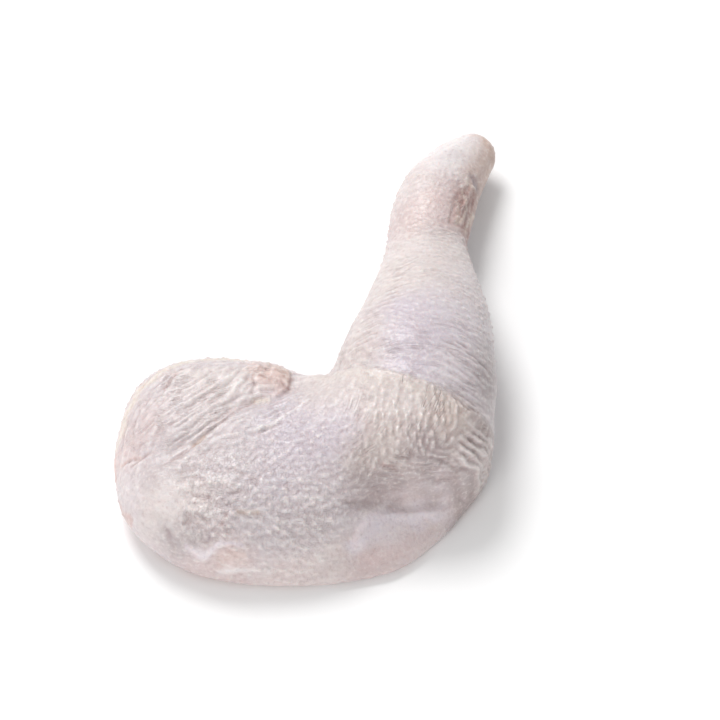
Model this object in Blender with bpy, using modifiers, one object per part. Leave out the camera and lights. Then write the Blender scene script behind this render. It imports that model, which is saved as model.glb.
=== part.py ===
"""A raw chicken leg: thigh and drumstick in one piece, lying on a table with its skin side up.

The thigh lies along X with its hip end towards -X, and the drumstick points along +Y. The body is a
field of rounded masses that blend into each other: a point's value is its rough distance outside the
skin. Folds and creases are strokes across that skin, which push it in or raise it. A block-out of
spheres is fused into one closed mesh, and its vertices settle onto the skin, where the field is zero.

The plan's zero lies in the bend between thigh and drumstick, and its sizes are in plan units, which
LEG_UNIT turns into metres at the end. The origin is then under the middle of the leg's box.
"""

import math
from typing import NamedTuple

import bmesh
import bpy
import numpy as np
from mathutils import Matrix

LEG = "chicken_leg"
LEG_UNIT = 0.0095
SKIN_COLOUR = (0.70, 0.60, 0.60, 1.0)
SKIN_ROUGHNESS = 0.42
SKIN_METALLIC = 0.0


class Mass(NamedTuple):
    """A slack rounded mass on the table: reach is half its length and width, turn is in degrees."""

    centre: tuple
    reach: tuple
    top: float
    waist: float = 1.1
    turn: float = 0.0


class Stroke(NamedTuple):
    """A line drawn on the skin's upper side: a crease where depth is positive, a roll where negative."""

    path: tuple
    width: float
    depth: float
    lowest: float = 0.9


THIGH = Mass((-1.9, -4.6), (4.88, 3.45), top=3.5)
SHOULDER = Mass((2.75, -3.4), (3.8, 2.4), top=4.55)
LOBE = Mass((-3.4, -2.05), (3.25, 2.5), top=3.4, turn=2.0)
FOLD_END = Mass((-1.35, -1.0), (1.0, 0.8), top=2.95)
BEND = Mass((0.4, -1.45), (1.5, 0.8), top=3.1)
SQUARENESS = 2.3

# The drumstick's axis, from the knee to the end of the hock: plan x, y, height above table, radius.
DRUMSTICK = (
    (4.1, -2.9, 2.3, 2.7),
    (3.95, -1.3, 2.5, 3.0),
    (4.1, 0.1, 2.45, 2.8),
    (4.3, 1.5, 2.25, 2.5),
    (4.38, 2.9, 2.0, 2.16),
    (4.42, 4.3, 1.75, 1.78),
    (4.43, 5.8, 1.5, 1.49),
    (4.6, 7.1, 1.42, 1.53),
    (4.92, 8.3, 1.35, 1.47),
    (5.4, 9.25, 1.25, 1.3),
    (5.88, 9.98, 1.12, 1.1),
    (6.2, 10.4, 1.02, 0.92),
)
CALF_FLATNESS = 0.92

# The hem of loose skin that the thigh lies on, clockwise on the plan from the knee's outer side.
HEM = (
    (6.5, -3.2),
    (5.85, -4.75),
    (4.85, -6.35),
    (3.4, -7.7),
    (1.2, -8.28),
    (-1.8, -8.28),
    (-4.2, -7.6),
    (-5.85, -6.0),
    (-6.85, -4.2),
    (-6.5, -2.0),
    (-5.0, -0.4),
    (-1.6, -0.5),
    (2.0, -0.7),
    (5.2, -1.4),
)
HEM_THICKNESS = 0.42
HEM_BLOCK = 0.6
HEM_EDGE = 0.5
HEM_RISE = 1.0
HEM_RISE_REACH = 1.6

STROKES = (
    # Where the skin of the thigh stands in front of the drumstick.
    Stroke(((0.5, -0.9), (1.4, -1.25), (2.6, -1.6), (4.0, -2.0), (5.4, -2.55), (6.6, -3.2)), 0.45, 0.16),
    Stroke(((0.9, -1.8), (2.2, -2.3), (3.6, -2.7), (5.0, -3.2)), 0.8, -0.1),
    # The long fold between the hip lobe and the thigh, and the folds beside it on the lobe.
    Stroke(((-5.2, -4.7), (-4.1, -4.15), (-3.2, -3.6), (-2.25, -2.75), (-1.4, -2.4), (-0.4, -1.7)), 0.3, 0.27),
    Stroke(((-4.7, -3.9), (-3.8, -3.35), (-2.9, -2.75), (-2.0, -2.05), (-1.3, -1.8)), 0.27, 0.11),
    Stroke(((-4.9, -3.1), (-3.9, -2.6), (-3.0, -2.1), (-2.3, -1.5)), 0.27, 0.1),
    Stroke(((-4.8, -4.3), (-3.7, -3.75), (-2.8, -3.2), (-1.9, -2.4)), 0.22, -0.09),
    # The curled end of the hip lobe, over the bend.
    Stroke(((-2.2, -0.6), (-1.4, -0.75), (-0.7, -1.15)), 0.3, -0.12),
    Stroke(((-0.7, -2.0), (-0.4, -1.5), (-0.35, -0.9)), 0.3, 0.14),
    # The valley behind the apron of smooth skin at the thigh's free edge.
    Stroke(((1.1, -6.7), (2.2, -6.2), (3.5, -5.85), (4.9, -5.5), (6.1, -4.9)), 0.5, 0.16),
    # Slack skin over the lower end of the thigh.
    Stroke(((-5.5, -5.0), (-5.2, -5.9), (-4.6, -6.7)), 0.7, -0.18),
    Stroke(((-4.4, -5.3), (-3.9, -6.0), (-3.6, -6.8)), 0.4, 0.12),
    Stroke(((-3.0, -5.4), (-2.0, -6.0), (-0.8, -6.5)), 0.6, -0.1),
    Stroke(((-2.6, -7.1), (-0.8, -7.35), (0.9, -7.2)), 0.4, 0.1, lowest=0.3),
    # Folds over the outer side of the knee.
    Stroke(((5.6, -3.6), (6.4, -3.85), (6.95, -3.9)), 0.18, 0.1),
    Stroke(((5.4, -4.05), (6.2, -4.35), (6.7, -4.4)), 0.18, 0.1),
)
STROKE_FADE = 0.8

# Under the skin's lower edge at the hip end, the bare flesh stands back.
HIP_CUT = ((-6.2, -1.6), (-6.85, -3.0), (-7.0, -4.4), (-6.4, -5.9), (-5.2, -7.1))
HIP_CUT_HEIGHT = 0.3
HIP_CUT_TALL = 0.3
HIP_CUT_DEPTH = 0.28
HIP_CUT_WIDTH = 0.9

# The bare flesh under the thigh stands off the table inside the skin's turned edge, which wavers.
FLESH_INSET = 1.2
FLESH_WAVER = 0.3
FLESH_HEIGHT = 0.12
FLESH_EDGE = 0.5
MUSCLE_SEAMS = (
    ((-5.3, -3.0), (-2.6, -3.3), (0.4, -2.9), (3.2, -3.2), (4.9, -3.9)),
    ((-4.9, -5.4), (-2.2, -5.1), (0.8, -5.5), (3.2, -5.2)),
)
SEAM_HEIGHT = 0.12
SEAM_WIDTH = 0.35

# The sawn end of the shank: skin round a shallow hollow, with the two knuckles of the bone in it.
CUT_CENTRE = (6.28, 10.56, 0.68)
CUT_FACES = (0.45, 0.65, -0.6)
CUT_ROUNDING = 0.2
CUT_HOLLOW = 0.6
CUT_HOLLOW_DEPTH = 0.18
KNUCKLE = 0.34
KNUCKLE_APART = 0.26

MASS_BLEND = 1.5
KNEE_BLEND = 0.7
HEM_BLEND = 1.1
TABLE_EDGE = 0.35

COARSE_VOXEL = 0.25
FINE_VOXEL = 0.17
SETTLE_ROUNDS = 2
SETTLE_STEPS = 3
LONGEST_STEP = 0.3
PROBE = 0.01
MOST_TRIANGLES = 9400
TABLE_CATCH = 0.03


def smooth_path(points, closed=False, steps=8):
    """Points along one smooth curve through the given ones (Catmull-Rom)."""
    p = np.array(points, float)
    if closed:
        p = np.vstack([p[-1:], p, p[:2]])
    else:
        p = np.vstack([2 * p[0] - p[1], p, 2 * p[-1] - p[-2]])
    t = np.linspace(0, 1, steps, endpoint=False)[:, None]
    runs = []
    for a, b, c, d in zip(p[:-3], p[1:-2], p[2:-1], p[3:]):
        bend = t * (2 * a - 5 * b + 4 * c - d + t * (3 * (b - c) + d - a))
        runs.append(b + t / 2 * (c - a + bend))
    return np.vstack([*runs, p[-2:-1]])


def along(points, path, columns):
    """For each point: its distance to the path, and where on the path, as segment number and share."""
    nearest = np.full(len(points), np.inf)
    place = np.zeros(len(points))
    for i, (a, b) in enumerate(zip(path[:-1, :columns], path[1:, :columns])):
        run = b - a
        share = np.clip((points[:, :columns] - a) @ run / (run @ run), 0, 1)
        gap = np.linalg.norm(points[:, :columns] - a - share[:, None] * run, axis=1)
        closer = gap < nearest
        nearest[closer] = gap[closer]
        place[closer] = i + share[closer]
    return nearest, place


def inside_loop(points, loop):
    """Whether each point lies inside a closed loop on the plan."""
    inside = np.zeros(len(points), bool)
    x, y = points[:, 0], points[:, 1]
    for (ax, ay), (bx, by) in zip(loop[:-1], loop[1:]):
        if ay != by:
            crosses = (ay > y) != (by > y)
            inside ^= crosses & (x < (bx - ax) * (y - ay) / (by - ay) + ax)
    return inside


def join(first, second, reach):
    """The union of two fields, with a fillet of about that reach."""
    share = np.clip(1 - np.abs(first - second) / reach, 0, 1)
    return np.minimum(first, second) - share * share * reach / 4


def cut(body, cutter, reach):
    """The body with the cutter taken away, its new edge rounded by about that reach."""
    return -join(-body, cutter, reach)


def step_up(value, low, high):
    """0 below low, 1 above high, and smooth between."""
    t = np.clip((value - low) / (high - low), 0, 1)
    return t * t * (3 - 2 * t)


def bell(value, width):
    """1 at zero, falling away smoothly within about the width."""
    return np.exp(-((value / width) ** 2))


DRUMSTICK_AXIS = smooth_path(DRUMSTICK)
HEM_LOOP = smooth_path(HEM, closed=True)
HIP_CUT_PATH = smooth_path(HIP_CUT)
MUSCLE_SEAM_PATHS = tuple(smooth_path(seam) for seam in MUSCLE_SEAMS)
STROKE_PATHS = tuple(smooth_path(stroke.path) for stroke in STROKES)


def mass_field(points, mass):
    angle = math.radians(-mass.turn)
    x, y = points[:, 0] - mass.centre[0], points[:, 1] - mass.centre[1]
    z = points[:, 2] - mass.waist
    tall = np.where(z > 0, mass.top - mass.waist, mass.waist)
    ways = np.stack([x * math.cos(angle) - y * math.sin(angle), x * math.sin(angle) + y * math.cos(angle), z])
    reach = np.stack([np.full(len(x), mass.reach[0]), np.full(len(x), mass.reach[1]), tall])
    ratio = np.abs(ways) / reach
    size = (ratio**SQUARENESS + 1e-9).sum(0) ** (1 / SQUARENESS)
    slope = np.sqrt(((ratio ** (SQUARENESS - 1) / reach) ** 2).sum(0)) / size ** (SQUARENESS - 1)
    return (size - 1) / np.maximum(slope, 0.15)


def drumstick_field(points):
    """Calf, shin and hock: a tube of changing radius, a little flatter than it is wide."""
    flat = points / (1, 1, CALF_FLATNESS)
    axis = DRUMSTICK_AXIS / (1, 1, CALF_FLATNESS, 1)
    gap, place = along(flat, axis, 3)
    return gap - np.interp(place, np.arange(len(axis)), axis[:, 3])


def inwards_of_hem(points):
    """How far each point lies inside the hem's outline on the plan."""
    gap, _ = along(points, HEM_LOOP, 2)
    return np.where(inside_loop(points, HEM_LOOP), gap, -gap)


def hem_field(points, inwards):
    """The skirt of skin and fat round the thigh: thin at its edge, and rising inwards."""
    top = HEM_THICKNESS + HEM_RISE * (1 - np.exp(-np.maximum(inwards, 0) / HEM_RISE_REACH))
    return -join(inwards, top - points[:, 2], HEM_EDGE)


def stroke_push(points):
    """How far the strokes push the skin in at each point."""
    push = np.zeros(len(points))
    for stroke, path in zip(STROKES, STROKE_PATHS):
        gap, place = along(points, path, 2)
        ends = np.minimum(place, len(path) - 1 - place) / (len(path) - 1)
        above = step_up(points[:, 2], stroke.lowest, stroke.lowest + STROKE_FADE)
        push += stroke.depth * bell(gap, stroke.width) * step_up(ends, -0.1, 0.25) * above
    return push


def hip_cut_push(points):
    """How far the flesh stands back below the skin's edge at the hip end."""
    gap, place = along(points, HIP_CUT_PATH, 2)
    ends = np.minimum(place, len(HIP_CUT_PATH) - 1 - place) / (len(HIP_CUT_PATH) - 1)
    low = bell(points[:, 2] - HIP_CUT_HEIGHT, HIP_CUT_TALL)
    return HIP_CUT_DEPTH * low * bell(gap, HIP_CUT_WIDTH) * step_up(ends, 0, 0.3)


def underside_height(points, inwards):
    """How far the leg's underside stands off the table under the thigh."""
    x, y = points[:, 0], points[:, 1]
    edge = FLESH_INSET + FLESH_WAVER * np.sin(1.4 * x) * np.cos(1.1 * y)
    inside = step_up(inwards, edge, edge + FLESH_EDGE)
    seams = sum(bell(along(points, path, 2)[0], SEAM_WIDTH) for path in MUSCLE_SEAM_PATHS)
    return inside * (FLESH_HEIGHT + SEAM_HEIGHT * seams)


def sawn_end(points, body):
    """The body with the shank's end sawn off, hollowed, and its knuckles showing."""
    faces = np.array(CUT_FACES) / np.linalg.norm(CUT_FACES)
    across = np.cross(faces, (0, 0, 1))
    across /= np.linalg.norm(across)
    from_cut = points - CUT_CENTRE
    depth = from_cut @ faces
    body = cut(body, -depth, CUT_ROUNDING)
    from_middle = np.linalg.norm(from_cut - depth[:, None] * faces, axis=1)
    hollow = np.maximum(from_middle - CUT_HOLLOW, -depth - CUT_HOLLOW_DEPTH)
    body = cut(body, hollow, CUT_ROUNDING / 2)
    for side in (-1, 1):
        middle = side * KNUCKLE_APART * across - CUT_HOLLOW_DEPTH * faces
        body = join(body, np.linalg.norm(from_cut - middle, axis=1) - KNUCKLE, CUT_ROUNDING / 2)
    return body


def skin(points):
    """The rough distance of each point outside the leg's skin."""
    thigh = join(mass_field(points, THIGH), mass_field(points, SHOULDER), MASS_BLEND)
    thigh = join(thigh, mass_field(points, LOBE), MASS_BLEND)
    for small in (FOLD_END, BEND):
        thigh = join(thigh, mass_field(points, small), KNEE_BLEND)
    inwards = inwards_of_hem(points)
    thigh = join(thigh, hem_field(points, inwards), HEM_BLEND)
    body = join(thigh, drumstick_field(points), KNEE_BLEND)
    body = sawn_end(points, body + stroke_push(points) + hip_cut_push(points))
    return cut(body, points[:, 2] - underside_height(points, inwards), TABLE_EDGE)


def settle(points):
    """Moves points onto the skin, along the field's slope."""
    for _ in range(SETTLE_STEPS):
        value = skin(points)
        slope = np.stack([skin(points + probe) - value for probe in PROBE * np.eye(3)], 1) / PROBE
        steepness = np.maximum((slope * slope).sum(1), 0.1)
        step = slope * (value / steepness)[:, None]
        length = np.linalg.norm(step, axis=1, keepdims=True)
        points = points - step * np.minimum(1, LONGEST_STEP / np.maximum(length, 1e-9))
    return points


def clear_scene():
    for obj in list(bpy.data.objects):
        bpy.data.objects.remove(obj, do_unlink=True)


def add_lump(bm, centre, reach):
    """A sphere pulled out to its reach along X, Y and Z."""
    made = bmesh.ops.create_uvsphere(bm, u_segments=32, v_segments=16, radius=1.0)["verts"]
    bmesh.ops.transform(bm, matrix=Matrix.Translation(centre) @ Matrix.Diagonal((*reach, 1)), verts=made)


def block_out():
    """Overlapping lumps that fill about the space of the leg."""
    bm = bmesh.new()
    for mass in (THIGH, SHOULDER, LOBE, FOLD_END, BEND):
        add_lump(bm, (*mass.centre, mass.top / 2), (*mass.reach, mass.top / 2))
    for x, y, z, radius in DRUMSTICK_AXIS[::2]:
        add_lump(bm, (x, y, z), (radius, radius, radius))
    low, high = HEM_LOOP.min(0), HEM_LOOP.max(0)
    add_lump(bm, (*((low + high) / 2), HEM_BLOCK), (*((high - low) / 2), HEM_BLOCK))
    mesh = bpy.data.meshes.new(LEG)
    bm.to_mesh(mesh)
    bm.free()
    return mesh


def apply_modifiers(obj):
    bpy.context.view_layer.update()
    evaluated = obj.evaluated_get(bpy.context.evaluated_depsgraph_get())
    obj.data = bpy.data.meshes.new_from_object(evaluated)
    obj.modifiers.clear()


def fuse(obj, voxel):
    """One closed mesh of even squares over the whole shape."""
    remesh = obj.modifiers.new("fuse", "REMESH")
    remesh.mode = "VOXEL"
    remesh.voxel_size = voxel
    apply_modifiers(obj)


def relax(obj, passes):
    smooth = obj.modifiers.new("relax", "SMOOTH")
    smooth.factor = 0.5
    smooth.iterations = passes
    apply_modifiers(obj)


def places_of(mesh):
    places = np.empty(len(mesh.vertices) * 3)
    mesh.vertices.foreach_get("co", places)
    return places.reshape(-1, 3)


def put_at(mesh, places):
    mesh.vertices.foreach_set("co", places.ravel())
    mesh.update()


def settle_mesh(obj):
    """Alternates between evening out the mesh and settling it onto the skin."""
    for _ in range(SETTLE_ROUNDS):
        relax(obj, 3)
        put_at(obj.data, settle(places_of(obj.data)))


def thin_out(obj):
    """Fewer triangles where the skin is nearly flat."""
    obj.data.calc_loop_triangles()
    decimate = obj.modifiers.new("thin out", "DECIMATE")
    decimate.ratio = MOST_TRIANGLES / len(obj.data.loop_triangles)
    decimate.use_collapse_triangulate = True
    apply_modifiers(obj)


def set_on_table(obj):
    """Flattens what touches the table, and puts the origin under the middle of the leg's box."""
    places = places_of(obj.data)
    places[np.abs(places[:, 2]) < TABLE_CATCH, 2] = 0
    low, high = places.min(0), places.max(0)
    middle = (low + high) / 2
    put_at(obj.data, (places - (middle[0], middle[1], 0)) * LEG_UNIT)


def skin_material():
    material = bpy.data.materials.new("raw_skin")
    material.use_nodes = True
    shader = material.node_tree.nodes["Principled BSDF"]
    shader.inputs["Base Color"].default_value = SKIN_COLOUR
    shader.inputs["Roughness"].default_value = SKIN_ROUGHNESS
    shader.inputs["Metallic"].default_value = SKIN_METALLIC
    return material


def main():
    clear_scene()
    collection = bpy.data.collections.new("raw_chicken_leg")
    bpy.context.scene.collection.children.link(collection)
    leg = bpy.data.objects.new(LEG, block_out())
    collection.objects.link(leg)
    for voxel in (COARSE_VOXEL, FINE_VOXEL):
        fuse(leg, voxel)
        settle_mesh(leg)
    relax(leg, 1)
    thin_out(leg)
    set_on_table(leg)
    leg.data.materials.clear()
    leg.data.materials.append(skin_material())
    leg.data.shade_smooth()


main()
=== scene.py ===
"""The looks of the raw chicken leg: moist, loose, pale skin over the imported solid.

The skin is a fine copy of the solid, smoothed and then worked over like clay: folds drawn as strokes,
fine wrinkles that run with the skin's grain, and the bumps where the feathers grew. What each point
of the skin is like is kept in attributes, which the material reads. Places are given on the leg's
plan, in plan units, whose zero lies in the bend between thigh and drumstick.
"""

import math
from typing import NamedTuple

import bmesh
import bpy
import numpy as np
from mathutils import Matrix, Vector


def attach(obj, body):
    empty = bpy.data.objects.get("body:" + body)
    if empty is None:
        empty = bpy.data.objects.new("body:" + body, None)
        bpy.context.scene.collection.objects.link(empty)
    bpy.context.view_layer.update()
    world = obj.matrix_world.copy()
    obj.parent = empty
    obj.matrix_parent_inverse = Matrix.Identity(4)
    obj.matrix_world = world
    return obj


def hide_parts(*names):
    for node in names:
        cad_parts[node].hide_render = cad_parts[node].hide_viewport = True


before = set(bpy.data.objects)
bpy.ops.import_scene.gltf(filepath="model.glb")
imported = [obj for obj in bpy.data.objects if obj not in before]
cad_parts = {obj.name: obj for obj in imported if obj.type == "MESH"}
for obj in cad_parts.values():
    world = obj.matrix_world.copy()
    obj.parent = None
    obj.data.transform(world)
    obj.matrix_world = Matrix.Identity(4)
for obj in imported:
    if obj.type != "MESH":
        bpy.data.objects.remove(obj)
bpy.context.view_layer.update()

MM = 0.001
PLAN_UNIT = 0.0095
PLAN_ZERO = (-0.00026, -0.01341, 0.0)
# Points this near a place on the plan, in plan units, count as over it.
CLOSE_BY = 0.12
SEED = 11

# The table lies this far below the leg, so that their faces don't coincide.
BELOW_LEG = 0.2 * MM

# The fine mesh.
MERGE = 0.00002
SKIN_VOXEL = 0.6 * MM
EVEN_OUT = 14
UNDERSIDE_KEPT = 0.71

# Wrinkles, each by shares of the grain's own size and depth.
WRINKLE_SCALES = ((1.0, 1.25), (2.2, 0.6))
# Flat skin's level between a hollow, 0, and a ridge, 1, and the heights of a full ridge and bump.
PLAIN_RIDGE = 0.3
FULL_RIDGE = 0.3 * MM
FULL_BUMP = 0.5 * MM
# How far a mark on the skin reaches, in its own sizes, and the most that a bump is drawn out.
EDGE_OF_MARK = 1.7
LONGEST_BUMP = 2.6
CHOOSING_ROUNDS = 4
# How far a wrinkle as long as it is wide strays from the grain, in radians.
CRUMPLED_TURN = 0.7
# How much of its wrinkles the skin keeps where it is steep.
STEEP_SIDES = 0.3
GRAIN_ROUNDS = 400

# The way that a level wrinkle runs round the leg: these two are across it and along it.
ACROSS_LEVEL = np.array((0.0, 0.819, 0.574))
ALONG_LEVEL = np.array((1.0, 0.0, 0.0))


class Fold(NamedTuple):
    """A stroke on the skin's upper side: depth in mm, negative for a roll, and width in plan units."""

    path: tuple
    depth: float
    width: float = 0.055


class Lip(NamedTuple):
    """An edge of skin: to the right of the path it stands height mm higher, and that fades away
    within the fade, in plan units. Waver is how far the edge strays from its path."""

    path: tuple
    height: float
    fade: float
    waver: float = 0.02


class Grain(NamedTuple):
    """How the skin wrinkles round one place on the plan.

    Reach is in plan units. Slant is how much the wrinkles rise towards +X, in degrees. Spacing,
    length and depth are those of one wrinkle in mm, and bumps is the height in mm of the bumps
    where the feathers grew, which stand gap mm apart.
    """

    place: tuple
    reach: float
    slant: float
    spacing: float
    length: float
    depth: float
    bumps: float = 0.1
    gap: float = 2.6


class Tint(NamedTuple):
    """A patch of one colour on the plan."""

    place: tuple
    reach: float
    colour: tuple


class StainOrPaintedLight(NamedTuple):
    """A mark drawn over the tints along a path on the plan, as wide to each side as its width. Some are
    stains of the skin, and some are painted highlights and shade.
    """

    path: tuple
    width: float
    colour: tuple
    strength: float


# Colours of skin, fat and flesh, of painted highlights and shade, and of the white table.
CREAM = (0.70, 0.635, 0.62)
FAT_CREAM = (0.63, 0.565, 0.545)
PALE = (0.66, 0.60, 0.615)
LAVENDER = (0.55, 0.49, 0.565)
COOL_LAVENDER = (0.585, 0.53, 0.60)
GREY = (0.54, 0.495, 0.52)
PINK = (0.66, 0.54, 0.535)
DUSKY = (0.46, 0.365, 0.365)
FATTY_PINK = (0.70, 0.51, 0.455)
FLESHY = (0.62, 0.44, 0.43)
TAN = (0.60, 0.455, 0.395)
ORANGE_TAN = (0.58, 0.40, 0.31)
YELLOW_CREAM = (0.76, 0.675, 0.56)
WHITE_FAT = (0.84, 0.80, 0.80)
RED_BROWN = (0.34, 0.15, 0.12)
OCHRE = (0.52, 0.37, 0.25)
ORANGE_FLESH = (0.62, 0.28, 0.19)
GREY_VIOLET = (0.26, 0.20, 0.24)
# Painted shade for the hollow above the apron.
HOLLOW_SHADE = (0.37, 0.305, 0.31)
DEEP_LAVENDER = (0.485, 0.435, 0.50)
WARM_GREY = (0.52, 0.44, 0.425)
WARM_CREAM = (0.59, 0.49, 0.445)
PALE_PINK = (0.72, 0.62, 0.61)
DEEP_GREY = (0.45, 0.40, 0.41)
DIM_PALE = (0.60, 0.545, 0.55)
DIM_PINK = (0.60, 0.49, 0.485)
# Painted shade for the knee's outer edge.
PAINTED_WARM_SHADE = (0.40, 0.33, 0.315)
CREAM_WHITE = (0.79, 0.73, 0.715)
LIGHT_LAVENDER = (0.70, 0.65, 0.69)
BROWN_GREY = (0.51, 0.435, 0.405)
HOCK_BROWN = (0.41, 0.21, 0.165)
BRIGHT_LAVENDER = (0.74, 0.68, 0.74)
BLOTCH = (0.62, 0.50, 0.51)
# Painted highlight on ridges, bumps and specks, and the paler mottle of bare meat.
HIGHLIGHT_AND_PALE_MOTTLE = (0.86, 0.80, 0.775)
# Painted shade in creases, hollows, wrinkle grooves and pits.
PAINTED_SHADE = (0.37, 0.275, 0.27)
MEAT = (0.50, 0.17, 0.15)
SINEW = (0.72, 0.62, 0.60)
BONE = (0.80, 0.72, 0.62)
MARROW = (0.42, 0.11, 0.09)
WHITE = (0.96, 0.96, 0.96)

# The upper edge of the thigh's thicker skin, in front of the drumstick.
CREST = ((-0.2, -0.9), (0.9, -1.15), (1.6, -1.55), (2.5, -2.1), (3.5, -2.45), (4.6, -2.85), (5.4, -3.2),
         (6.0, -3.55), (6.6, -3.8), (7.3, -3.9))
# Between these places along the plan its edge blurs, from the narrow blend to the wide one.
CREST_FADES = (4.2, 5.8)
CREST_BLEND = 0.12
WIDER_BLEND = 0.5
LIPS = (
    Lip(CREST[:7], 1.1, 1.1, 0.06),
    # The apron, which hangs over the thigh's front.
    Lip(((1.5, -7.45), (1.75, -7.05), (2.1, -6.6), (2.55, -6.2), (3.1, -5.95), (4.0, -5.75), (4.95, -5.5),
         (5.9, -5.0)), 1.5, 0.9, 0.0),
    # The lobe's lower edge, its curled end, and the slack skin at the thigh's outer end.
    Lip(((-1.5, -2.7), (-2.4, -3.2), (-3.1, -3.65), (-3.75, -4.1), (-4.5, -4.75), (-5.2, -5.15)), 0.45, 0.3),
    Lip(((-0.65, -0.75), (-0.6, -1.3), (-0.65, -1.75), (-1.05, -2.25), (-1.6, -2.75)), 0.9, 0.6),
    Lip(((-6.6, -4.3), (-6.2, -4.55), (-5.9, -4.5), (-5.3, -4.25)), 0.5, 0.35),
)

# A fold 1 mm deep gets its darkest painted shade when it is this narrow, in plan units. Beside it the skin
# is raised, and painted paler by this share as a highlight, as it is along a roll.
NARROW = 0.075
BESIDE_FOLD = 0.4
ON_ROLL = 0.7
# Folds, stains and painted light stray from their paths, by plan units and by shares of a mark's width,
# and fade out between these heights on the sides.
FOLD_STRAYS = 0.035
STAIN_AND_LIGHT_STRAYS = 0.45
STROKES_FADE = (0.15, 1.0)
# Between these heights the skin of the back and right side turns plain, downwards, by this share.
BACKS_PLAIN = (0.3, 1.7)
PLAIN_SHARE = 0.85
# How much a place far from every patch has of the plain grain, and of the plain colour.
ELSEWHERE = 0.02
FAINT = 0.01

# The bright ridges of slack skin beside the hip lobe, and a bright thread on the thigh's lower end.
SLACK_RIDGES = (
    ((-1.9, -3.85), (-1.25, -3.65), (-0.85, -3.4)),
    ((-0.9, -3.4), (-0.35, -3.05), (0.1, -2.7)),
)
THREAD = ((-4.3, -7.65), (-3.6, -7.85), (-3.0, -7.75), (-2.3, -7.8))

# The hock's tendons, and the ridges of skin over the knee's outer side, which are painted with highlights.
TENDONS = (
    ((5.95, 8.2), (6.3, 8.05), (6.3, 7.5), (6.0, 6.8), (5.85, 6.15)),
    ((5.75, 7.7), (5.9, 7.2), (5.75, 6.6), (5.5, 6.2)),
    ((5.5, 7.2), (5.6, 6.8), (5.5, 6.3)),
)
RIPPLES = (
    ((5.7, -3.75), (6.15, -3.88), (6.5, -3.8), (6.85, -3.55), (7.3, -3.2)),
    ((5.7, -4.08), (6.0, -4.15), (6.4, -4.02), (6.85, -3.7), (7.3, -3.4)),
    ((5.5, -4.38), (5.95, -4.41), (6.35, -4.27), (6.8, -3.95), (7.3, -3.65)),
    ((5.4, -4.62), (5.9, -4.66), (6.3, -4.48), (6.7, -4.18), (7.2, -3.9)),
    ((5.35, -4.84), (5.8, -4.87), (6.2, -4.7), (6.6, -4.42), (7.1, -4.15)),
)

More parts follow.
